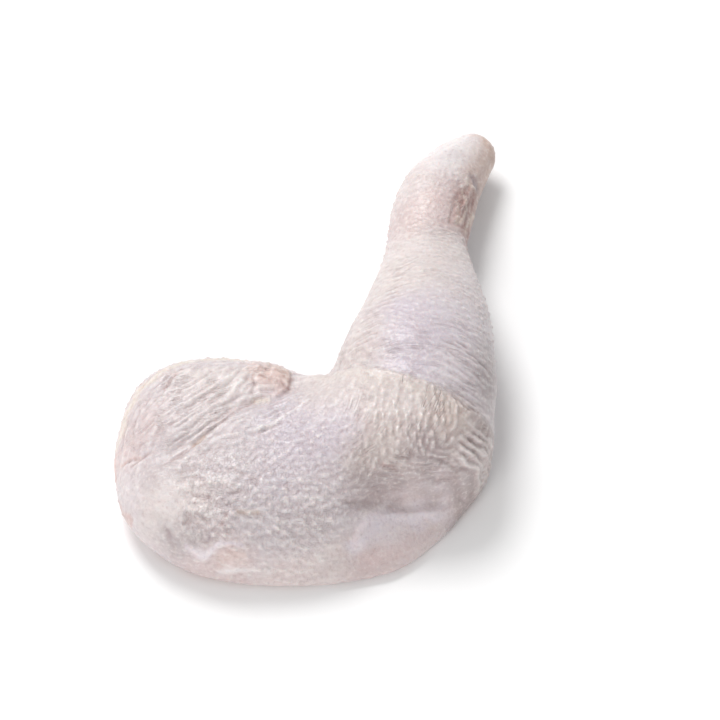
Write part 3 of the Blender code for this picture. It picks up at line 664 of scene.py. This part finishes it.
class Skin:
    """The fine skin's points while it is being worked: places, directions and relief in metres."""

    def __init__(self, mesh):
        count = len(mesh.vertices)
        self.mesh = mesh
        self.places = numbers(mesh.vertices, "co", 3)
        self.normals = numbers(mesh.vertex_normals, "vector", 3)
        self.plan = on_plan(self.places)
        self.relief = np.zeros(count)
        # How dark the creases are painted as shade, and how much ridges and bumps are painted lighter as
        # highlights.
        self.crease_shade = np.zeros(count)
        self.ridge = np.zeros(count)
        self.bump = np.zeros(count)
        self.up = step_up(self.normals[:, 2], -0.35, 0.1)
        # Strokes, which are given on the plan, fade out on the steep sides.
        self.drawn = step_up(self.normals[:, 2], -0.3, 0.2) * step_up(self.plan[:, 2], *STROKES_FADE)
        self.waver = waver(self.plan)
        self.level = STEEP_SIDES + (1 - STEEP_SIDES) * step_up(self.normals[:, 2], 0.05, 0.5)
        self.work = np.flatnonzero(self.up > 0)
        self.worked = self.places[self.work].astype(np.float32)
        self.worked_normals = self.normals[self.work].astype(np.float32)
        self.worked_area = sum(p.area for p in mesh.polygons) * len(self.work) / count

    def surface_at(self, x, y):
        """The highest point of the skin over a place on the plan."""
        gap = np.hypot(self.plan[:, 0] - x, self.plan[:, 1] - y)
        near = np.flatnonzero(gap < CLOSE_BY)
        if len(near) == 0:
            near = [np.argmin(gap)]
        return self.plan[near[np.argmax(self.plan[near, 2])]]

    def keep(self, name, values):
        """Stores one number or colour for each point, for the material."""
        kind, field = ("FLOAT", "value") if values.ndim == 1 else ("FLOAT_COLOR", "color")
        attribute = self.mesh.attributes.new(name, kind, "POINT")
        attribute.data.foreach_set(field, values.astype(np.float32).ravel())


def apply_modifiers(obj):
    bpy.context.view_layer.update()
    evaluated = obj.evaluated_get(bpy.context.evaluated_depsgraph_get())
    obj.data = bpy.data.meshes.new_from_object(evaluated)
    obj.modifiers.clear()


def even_skin(node):
    """A fine, even copy of the solid, without its facets."""
    bm = bmesh.new()
    bm.from_mesh(node.data)
    bmesh.ops.remove_doubles(bm, verts=bm.verts, dist=MERGE)
    leg = add_object("leg_skin", finished_mesh("leg_skin", bm))
    rounded = leg.modifiers.new("round the facets", "SUBSURF")
    rounded.levels = rounded.render_levels = 1
    even = leg.modifiers.new("even mesh", "REMESH")
    even.mode = "VOXEL"
    even.voxel_size = SKIN_VOXEL
    smooth = leg.modifiers.new("smooth", "SMOOTH")
    smooth.factor = 0.5
    smooth.iterations = EVEN_OUT
    apply_modifiers(leg)
    thin_underside(leg)
    return leg


def thin_underside(leg):
    """Spends fewer triangles underneath, where the flesh is nearly flat."""
    low = leg.vertex_groups.new(name="underside")
    facing_down = np.flatnonzero(numbers(leg.data.vertex_normals, "vector", 3)[:, 2] < -0.6)
    low.add(facing_down.tolist(), 1.0, "REPLACE")
    thin = leg.modifiers.new("thin the underside", "DECIMATE")
    thin.ratio = UNDERSIDE_KEPT
    thin.vertex_group = low.name
    apply_modifiers(leg)
    leg.vertex_groups.clear()


def draw_folds(skin):
    """Presses the folds in and raises the rolls, and notes how dark each crease is painted, as shade, and
    how much lighter the skin beside it and along each roll is painted, as highlight.
    """
    for fold in [*FOLDS, *(fold for folds in FANS for fold in folds)]:
        path = smooth_path(fold.path)
        margin = 3 * fold.width
        inside = (skin.plan[:, :2] > path.min(0) - margin) & (skin.plan[:, :2] < path.max(0) + margin)
        near = np.flatnonzero(inside.all(1) & (skin.drawn > 0))
        gap, share = along(skin.plan[near, :2], path)
        gap += FOLD_STRAYS * skin.waver[near]
        ends = step_up(np.minimum(share, 1 - share), -0.02, 0.22)
        mark = bell(gap, fold.width) * ends * skin.drawn[near]
        skin.relief[near] -= fold.depth * MM * mark
        sharpness = fold.depth * NARROW / fold.width
        painted_contrast = np.clip(sharpness, 0, 1)
        skin.crease_shade[near] = np.maximum(skin.crease_shade[near], mark * painted_contrast)
        beside = bell(np.abs(gap) - 2 * fold.width, fold.width) * ends * skin.drawn[near]
        # The raised skin beside a fold and along a roll is painted lighter, as highlight.
        skin.ridge[near] += BESIDE_FOLD * beside * painted_contrast - ON_ROLL * mark * min(sharpness, 0)


def raise_lips(skin):
    """Raises the skin to one side of each lip's path, in a step along the path."""
    for lip in LIPS:
        gap, share = along(skin.plan[:, :2], smooth_path(lip.path))
        gap += lip.waver * np.sin(5.3 * skin.plan[:, 0] + 3 * np.sin(2.9 * skin.plan[:, 1]))
        ends = step_up(np.minimum(share, 1 - share), 0, 0.2)
        lift = step_up(gap, -0.07, 0.1) * np.exp(-np.maximum(gap, 0) / lip.fade)
        skin.relief += lip.height * MM * lift * ends * skin.up


def side_of_crest(points):
    """How far each point of the plan lies on the drumstick's side of the crest: negative on the thigh's."""
    path = smooth_path(CREST)
    return points[:, 1] - np.interp(points[:, 0], path[:, 0], path[:, 1])


def shares_of_patches(skin, points, patches, shank_patches):
    """Each patch with its share at every point. Thigh and drumstick only meet at the crest."""
    plan = on_plan(points)
    blend = CREST_BLEND + WIDER_BLEND * step_up(plan[:, 0], *CREST_FADES)
    shank = step_up(side_of_crest(plan) / blend, -1, 1)
    for group, side in ((patches, 1 - shank), (shank_patches, shank)):
        for patch in group:
            centre = skin.surface_at(*patch.place)
            yield patch, side * bell(np.linalg.norm(plan - centre, axis=1), patch.reach)


def direction(slant):
    lean = math.radians(slant)
    return np.array((math.cos(lean), math.sin(lean)))


def blended_grain(skin, points):
    """The grain at each point: across direction, and the sizes in metres."""
    total, heading, axis, sizes = np.zeros((4, len(points), 1))
    rest = (GRAIN_ELSEWHERE, np.full(len(points), ELSEWHERE))
    for grain, weight in [rest, *shares_of_patches(skin, points, GRAINS, SHANK_GRAINS)]:
        weight = weight[:, None]
        total = total + weight
        heading = heading + weight * direction(grain.slant)
        axis = axis + weight * direction(2 * grain.slant)
        sizes = sizes + weight * np.array(grain[3:])
    # Slants are blended as axes, at twice the angle, and then point the same way as their neighbours.
    lean = np.arctan2(axis[:, 1], axis[:, 0]) / 2
    lean += np.pi * (np.cos(lean) * heading[:, 0] + np.sin(lean) * heading[:, 1] < 0)
    across = np.cos(lean)[:, None] * ACROSS_LEVEL - np.sin(lean)[:, None] * ALONG_LEVEL
    return across, MM * sizes / total


def local_pairs(skin, centres, long, wide, normal, run):
    """For marks on the skin: pairs of a mark and a point that it covers, with the point's place in
    the mark (along, across) in its own sizes."""
    side = np.cross(normal, run)
    order = np.argsort(long)
    for some in np.array_split(order, 4):
        reach = EDGE_OF_MARK * long[some].max()
        for mark, place in near_pairs(skin.worked, centres[some], reach):
            mark = some[mark]
            away = skin.worked[place] - centres[mark]
            near = np.einsum("ij,ij->i", away, away) < (EDGE_OF_MARK * long[mark]) ** 2
            mark, place, away = mark[near], place[near], away[near]
            u = np.einsum("ij,ij->i", away, run[mark]) / long[mark]
            w = np.einsum("ij,ij->i", away, side[mark]) / wide[mark]
            covered = u * u + w * w < EDGE_OF_MARK**2
            yield mark[covered], place[covered], u[covered], w[covered]


def grain_waves(skin, scale, draw, overlap=6.0):
    """Random waves that run across the grain, each over a wrinkle's length. Unit spread."""
    _, sizes = blended_grain(skin, skin.worked)
    spacing, length = sizes[:, 0], sizes[:, 1]
    density = 1 / (length * spacing)
    count = int(skin.worked_area * np.mean(density) * overlap / 4 / scale**2)
    centres = draw.choice(len(skin.worked), count, p=density / density.sum())
    points = skin.worked[centres]
    across, sizes = blended_grain(skin, points)
    normal = skin.worked_normals[centres]
    run = unit(np.cross(normal, across))
    lean = draw.normal(0, CRUMPLED_TURN, count) * np.clip(sizes[:, 0] / sizes[:, 1], 0, 1)
    run = unit(run + np.tan(np.clip(lean, -1.3, 1.3))[:, None] * np.cross(normal, run))
    wave = 2 * sizes[:, 0] * scale * draw.uniform(0.8, 1.25, count)
    long = sizes[:, 1] * scale * draw.uniform(0.7, 1.3, count)
    wide = wave * 0.75
    phase = draw.uniform(0, 2 * math.pi, count)
    total = np.zeros(len(skin.worked))
    power = np.full(len(skin.worked), 0.02)
    for mark, place, u, w in local_pairs(skin, points, long, wide, normal, run):
        hill = np.exp(-u * u - w * w)
        value = hill * np.cos(2 * math.pi * w * wide[mark] / wave[mark] + phase[mark])
        total += np.bincount(place, value, len(total))
        power += np.bincount(place, hill * hill, len(total)) / 2
    return total / np.sqrt(power)


def wrinkle(skin, draw):
    """Wrinkles at two scales, with narrower ridges than valleys."""
    _, sizes = blended_grain(skin, skin.worked)
    for scale, share in WRINKLE_SCALES:
        waves = grain_waves(skin, scale, draw)
        ridge = ((1 + np.tanh(waves)) / 2) ** 2
        lift = sizes[:, 2] * share * (ridge - PLAIN_RIDGE) * skin.level[skin.work]
        skin.relief[skin.work] += lift * skin.up[skin.work]
        # The ridge value paints wrinkle tops lighter, as highlight, and their hollows darker, as shade.
        skin.ridge[skin.work] += lift / FULL_RIDGE


def raise_bumps(skin, draw):
    """The bumps that the feathers left, longer along the grain than across it."""
    some = draw.choice(len(skin.worked), len(skin.worked) // 5, replace=False)
    _, sizes = blended_grain(skin, skin.worked[some])
    kept = some[keep_apart(skin.worked[some], sizes[:, 4] * draw.uniform(0.75, 1.15, len(some)), draw)]
    points = skin.worked[kept]
    across, sizes = blended_grain(skin, points)
    normal = skin.worked_normals[kept]
    run = unit(np.cross(normal, across))
    stretch = np.sqrt(np.clip(sizes[:, 1] / sizes[:, 0], 1, LONGEST_BUMP))
    long = sizes[:, 4] * stretch * draw.uniform(0.2, 0.34, len(kept))
    wide = sizes[:, 4] / stretch * draw.uniform(0.2, 0.3, len(kept))
    height = sizes[:, 3] * draw.uniform(0.15, 1.5, len(kept))
    for mark, place, u, w in local_pairs(skin, points, long, wide, normal, run):
        hill = np.exp(-u * u - w * w)
        lift = np.bincount(place, hill * height[mark], len(skin.worked))
        skin.relief[skin.work] += lift * skin.up[skin.work]
        # The bump value paints each bump lighter: painted highlight.
        skin.bump[skin.work] += lift / FULL_BUMP


def lay_grain(skin):
    """Numbers each point of the skin along and across its grain, in metres, for the material.

    The two numbers are those whose slopes lie nearest to the grain's directions everywhere: a least
    squares problem over the mesh's edges, solved by conjugate gradients.
    """
    across, sizes = blended_grain(skin, skin.places)
    run = unit(np.cross(skin.normals, across))
    frame_here = np.stack([run, np.cross(skin.normals, run)], 1)
    a, b = numbers(skin.mesh.edges, "vertices", 2, np.int32).T
    step = skin.places[b] - skin.places[a]
    rise = np.einsum("nij,nj->ni", (frame_here[a] + frame_here[b]) / 2, step)
    count = len(skin.places)

    def gathered(values, at):
        return np.stack([np.bincount(at, column, count) for column in values.T], 1)

    def pull(x):
        slope = x[b] - x[a]
        return gathered(slope, b) - gathered(slope, a)

    x = np.stack([skin.places[:, 0], -skin.places @ ACROSS_LEVEL], 1)
    error = gathered(rise, b) - gathered(rise, a) - pull(x)
    way = error.copy()
    size = (error**2).sum(0)
    for _ in range(GRAIN_ROUNDS):
        pulled = pull(way)
        gain = size / (way * pulled).sum(0)
        x += gain * way
        error -= gain * pulled
        new_size = (error**2).sum(0)
        way = error + new_size / size * way
        size = new_size
    skin.keep("along_grain", x[:, 0])
    skin.keep("across_grain", x[:, 1])
    drawn_out = np.clip((sizes[:, 1] / sizes[:, 0] - 0.8) / 1.2, 0.15, 1)
    depth = np.clip(sizes[:, 2] / FULL_RIDGE, 0, 1.5) * skin.level
    skin.keep("lines", depth * drawn_out)
    skin.keep("crumples", depth * (1 - drawn_out))


def paint(colour, share, paint_colour):
    colour += share[:, None] * (np.array(paint_colour) - colour)


def bare_flesh(skin, colour):
    """Paints the thigh's inner side, where no skin covers the meat, and gives back where that is."""
    points = skin.plan[:, :2]
    down = step_up(-skin.normals[:, 2], 0.55, 0.85) * step_up(skin.plan[:, 2], 0.03, 0.1)
    bare = down * step_up(-side_of_crest(points), 0.1, 0.5)
    paint(colour, bare, MEAT)
    for seam in MUSCLE_SEAMS:
        gap, _ = along(points, smooth_path(seam))
        paint(colour, bare * bell(gap, SEAM_WIDTH) * 0.8, SINEW)
    rim = bell(skin.plan[:, 2] - 0.06, 0.04) * bare
    paint(colour, rim * 0.8, YELLOW_CREAM)
    return bare


def sawn_end(skin, colour):
    """Paints the end of the shank: a dark hollow in the ring of skin, and the bone's two knuckles."""
    faces = unit(np.array(CUT_FACES))
    across = unit(np.cross(faces, (0, 0, 1)))
    from_cut = skin.plan - CUT_CENTRE
    depth = from_cut @ faces
    from_middle = np.linalg.norm(from_cut - depth[:, None] * faces, axis=1)
    near = step_up(depth, -0.45, -0.3) * step_up(-from_middle, -CUT_HOLLOW - 0.12, -CUT_HOLLOW)
    paint(colour, near, MARROW)
    for side in (-1, 1):
        middle = side * KNUCKLE_APART * across - CUT_HOLLOW_DEPTH * faces
        gap = np.linalg.norm(from_cut - middle, axis=1)
        paint(colour, near * step_up(-gap, -KNUCKLE - 0.08, -KNUCKLE + 0.02), BONE)
    return near


def tint_skin(skin):
    """Colours each point by the tints near it, some of them painted shade, and then paints the stains, the
    painted highlights and shade along paths, and the bare flesh.
    """
    total = np.full(len(skin.plan), FAINT)
    colour = FAINT * np.tile(PALE, (len(skin.plan), 1))
    for tint, weight in shares_of_patches(skin, skin.places, TINTS, SHANK_TINTS):
        total += weight
        colour += weight[:, None] * np.array(tint.colour)
    colour /= total[:, None]
    plain = (1 - step_up(skin.plan[:, 2], *BACKS_PLAIN)) * step_up(skin.normals[:, 1], -0.5, 0.1)
    paint(colour, plain * PLAIN_SHARE, PALE)
    for stain_or_light in STAINS_AND_PAINTED_LIGHT:
        gap, _ = along(skin.plan[:, :2], smooth_path(stain_or_light.path))
        gap += STAIN_AND_LIGHT_STRAYS * stain_or_light.width * skin.waver
        paint(colour, bell(gap, stain_or_light.width) * stain_or_light.strength * skin.drawn, stain_or_light.colour)
    flesh = np.maximum(bare_flesh(skin, colour), sawn_end(skin, colour))
    skin.keep("tint", np.column_stack([colour, np.ones(len(colour))]))
    skin.keep("flesh", flesh)


def worked_skin():
    """The leg's skin, modelled over the solid."""
    leg = even_skin(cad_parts["chicken_leg"])
    skin = Skin(leg.data)
    draw = np.random.default_rng(SEED)
    draw_folds(skin)
    raise_lips(skin)
    wrinkle(skin, draw)
    raise_bumps(skin, draw)
    places = skin.places + skin.normals * skin.relief[:, None]
    places[:, 2] = np.maximum(places[:, 2], 0)
    leg.data.vertices.foreach_set("co", places.ravel())
    # How dark each crease is painted: painted shade.
    skin.keep("crease_shade", np.clip(skin.crease_shade, 0, 1))
    # Ridges and bumps painted lighter as highlights; hollows painted darker as shade.
    skin.keep("ridge", np.clip(PLAIN_RIDGE + skin.ridge, 0, 1))
    skin.keep("bump", np.clip(skin.bump, 0, 1))
    tint_skin(skin)
    lay_grain(skin)
    leg.data.update()
    leg.data.shade_smooth()
    return leg


class Value:
    """A socket that adds Math nodes when it is used in an expression."""

    def __init__(self, shader, socket):
        self.shader = shader
        self.socket = socket

    def maths(self, operation, *others):
        sockets = [self.socket, *(getattr(o, "socket", o) for o in others)]
        return self.shader.add("Math", {"operation": operation}, sockets)

    def __add__(self, other):
        return self.maths("ADD", other)

    __radd__ = __add__

    def __mul__(self, other):
        return self.maths("MULTIPLY", other)

    __rmul__ = __mul__

    def __sub__(self, other):
        return self.maths("SUBTRACT", other)

    def __rsub__(self, other):
        return self.shader.add("Math", {"operation": "SUBTRACT"}, [other, self.socket])


class Shader:
    """A material's nodes, added one by one."""

    def __init__(self, name):
        self.material = bpy.data.materials.new(name)
        self.material.use_nodes = True
        self.tree = self.material.node_tree
        self.surface = self.tree.nodes["Principled BSDF"]

    def add(self, kind, settings=None, inputs=(), output=0):
        """A node of that type, with its settings, then the values or links of its sockets."""
        node = self.tree.nodes.new("ShaderNode" + kind)
        for name, setting in (settings or {}).items():
            setattr(node, name, setting)
        pairs = inputs.items() if isinstance(inputs, dict) else enumerate(inputs)
        for key, value in pairs:
            self.put(node.inputs[key], value)
        return Value(self, node.outputs[output])

    def put(self, socket, value):
        value = getattr(value, "socket", value)
        if isinstance(value, bpy.types.NodeSocket):
            self.tree.links.new(value, socket)
        elif socket.type == "RGBA":
            socket.default_value = (*value, 1)
        else:
            socket.default_value = value

    def mix(self, share, first, second):
        """Colours mixed."""
        return self.add("Mix", {"data_type": "RGBA"}, {0: share, 6: first, 7: second}, 2)

    def attribute(self, name, output="Fac"):
        return self.add("Attribute", {"attribute_name": name}, (), output)

    def noise(self, size, detail):
        """Noise with lumps of about that size in metres."""
        place = self.add("TexCoord", None, (), "Object")
        return self.add("TexNoise", None, {"Vector": place, "Scale": 1 / size, "Detail": detail})

    def grain_noise(self, long, wide):
        """Noise in streaks of about that length and width in metres, which run with the grain."""
        along = self.attribute("along_grain") * (1 / long)
        across = self.attribute("across_grain") * (1 / wide)
        place = self.add("CombineXYZ", None, [along, across, 0.0])
        settings = {"noise_dimensions": "2D"}
        return self.add("TexNoise", settings, {"Vector": place, "Scale": 1.0, "Detail": 2.0})

    def ramp(self, value, start, end):
        """0 at the start value and 1 at the end value, and smooth between."""
        ends = (start, end, 0.0, 1.0) if start < end else (end, start, 1.0, 0.0)
        return self.add("MapRange", {"interpolation_type": "SMOOTHSTEP"}, [value, *ends])

    def creases(self, noise, width=0.07):
        """1 in narrow creases, where the noise crosses its middle value, and 0 elsewhere."""
        gap = self.add("Math", {"operation": "ABSOLUTE"}, [noise - 0.5])
        return self.ramp(gap, width, 0.0)


def skin_material():
    shader = Shader("raw_skin")
    surface = shader.surface.inputs
    crease_shade = shader.attribute("crease_shade")
    ridge = shader.attribute("ridge")
    bump = shader.attribute("bump")
    lines = shader.attribute("lines")
    tint = shader.attribute("tint", "Color")
    mottle = shader.noise(5 * MM, 4.0)
    patchy = shader.noise(7 * MM, 2.0)
    crumple = shader.noise(1.3 * MM, 3.0)
    threads = shader.creases(shader.grain_noise(2.4 * MM, 1.0 * MM))
    threads += shader.creases(shader.grain_noise(5 * MM, 1.7 * MM), 0.05)
    threads *= lines * shader.ramp(patchy, 0.42, 0.64)
    curls = shader.creases(shader.noise(2.2 * MM, 2.0), 0.045)
    curls += shader.creases(shader.noise(1.4 * MM, 1.0), 0.06)
    threads += curls * shader.attribute("crumples") * 0.8
    flesh = shader.attribute("flesh")
    # Painted highlight on the tops of the crumpled skin, and painted shade in its pits.
    speck_highlights = shader.ramp(crumple, 0.5, 0.68) * (1 - flesh)
    pit_shade = shader.ramp(crumple, 0.46, 0.3)
    colour = shader.mix((mottle - 0.45) * 0.8 * (1 - flesh), tint, BLOTCH)
    # Lighter colour on ridges, partly paler skin and partly painted highlight, painted highlight on bumps
    # and specks, and a paler mottle on the bare meat.
    pale = (ridge * 0.25 + bump * 0.45) * (1 - flesh) + speck_highlights * 0.3 + flesh * (mottle - 0.4) * 0.5
    colour = shader.mix(pale, colour, HIGHLIGHT_AND_PALE_MOTTLE)
    # Painted shade: hollows, creases, thin wrinkle grooves and pits are darker in the colour.
    dark = (1 - ridge) * 0.24 + crease_shade * 0.45 + threads * 0.35 + pit_shade * 0.2
    colour = shader.mix(dark, colour, PAINTED_SHADE)
    shader.put(surface["Base Color"], colour)
    height = crumple * 1.4 - threads * 1.0
    relief = shader.add("Bump", None, {"Strength": 1.0, "Distance": 0.2 * MM, "Height": height})
    shader.put(surface["Normal"], relief)
    surface["Roughness"].default_value = 0.4
    surface["Coat Weight"].default_value = 0.07
    surface["Coat Roughness"].default_value = 0.15
    surface["Subsurface Weight"].default_value = 0.15
    surface["Subsurface Radius"].default_value = (1.0, 0.45, 0.3)
    surface["Subsurface Scale"].default_value = 0.9 * MM
    return shader.material


def area_light(name, place, size, power):
    light = bpy.data.lights.new(name, "AREA")
    light.shape = "DISK"
    light.size = size
    light.energy = power
    lamp = add_object(name, light)
    lamp.location = place
    lamp.rotation_euler = (-Vector(place)).to_track_quat("-Z", "Y").to_euler()


def studio():
    """A white table, a broad soft light from behind on the left, and a bright room."""
    bm = bmesh.new()
    bmesh.ops.create_grid(bm, x_segments=1, y_segments=1, size=4.0)
    table = add_object("table", finished_mesh("table", bm))
    table.location.z = -BELOW_LEG
    white = Shader("white_table")
    white.put(white.surface.inputs["Base Color"], WHITE)
    white.put(white.surface.inputs["Roughness"], 0.8)
    table.data.materials.append(white.material)
    area_light("key", (-0.4, 0.75, 1.15), 0.75, 15.5)
    area_light("fill", (-0.6, -1.3, 0.8), 0.9, 10)
    world = bpy.data.worlds.new("room")
    world.use_nodes = True
    background = world.node_tree.nodes["Background"]
    background.inputs["Color"].default_value = (1, 1, 1, 1)
    background.inputs["Strength"].default_value = 0.5
    bpy.context.scene.world = world


def camera():
    """Looks along +Y and down at the leg, from far enough away to keep its proportions."""
    down = math.radians(55)
    target = Vector((0.0182, 0.0015, 0.0023))
    distance = 2.0
    data = bpy.data.cameras.new("camera")
    data.lens = 285
    data.sensor_width = 36
    eye = add_object("camera", data)
    eye.location = target + distance * Vector((0, -math.cos(down), math.sin(down)))
    eye.rotation_euler = (target - eye.location).to_track_quat("-Z", "Y").to_euler()
    bpy.context.scene.camera = eye
    bpy.context.scene.view_settings.view_transform = "Standard"


def main():
    leg = worked_skin()
    leg.data.materials.clear()
    leg.data.materials.append(skin_material())
    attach(leg, "root")
    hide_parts("chicken_leg")
    studio()
    camera()


main()
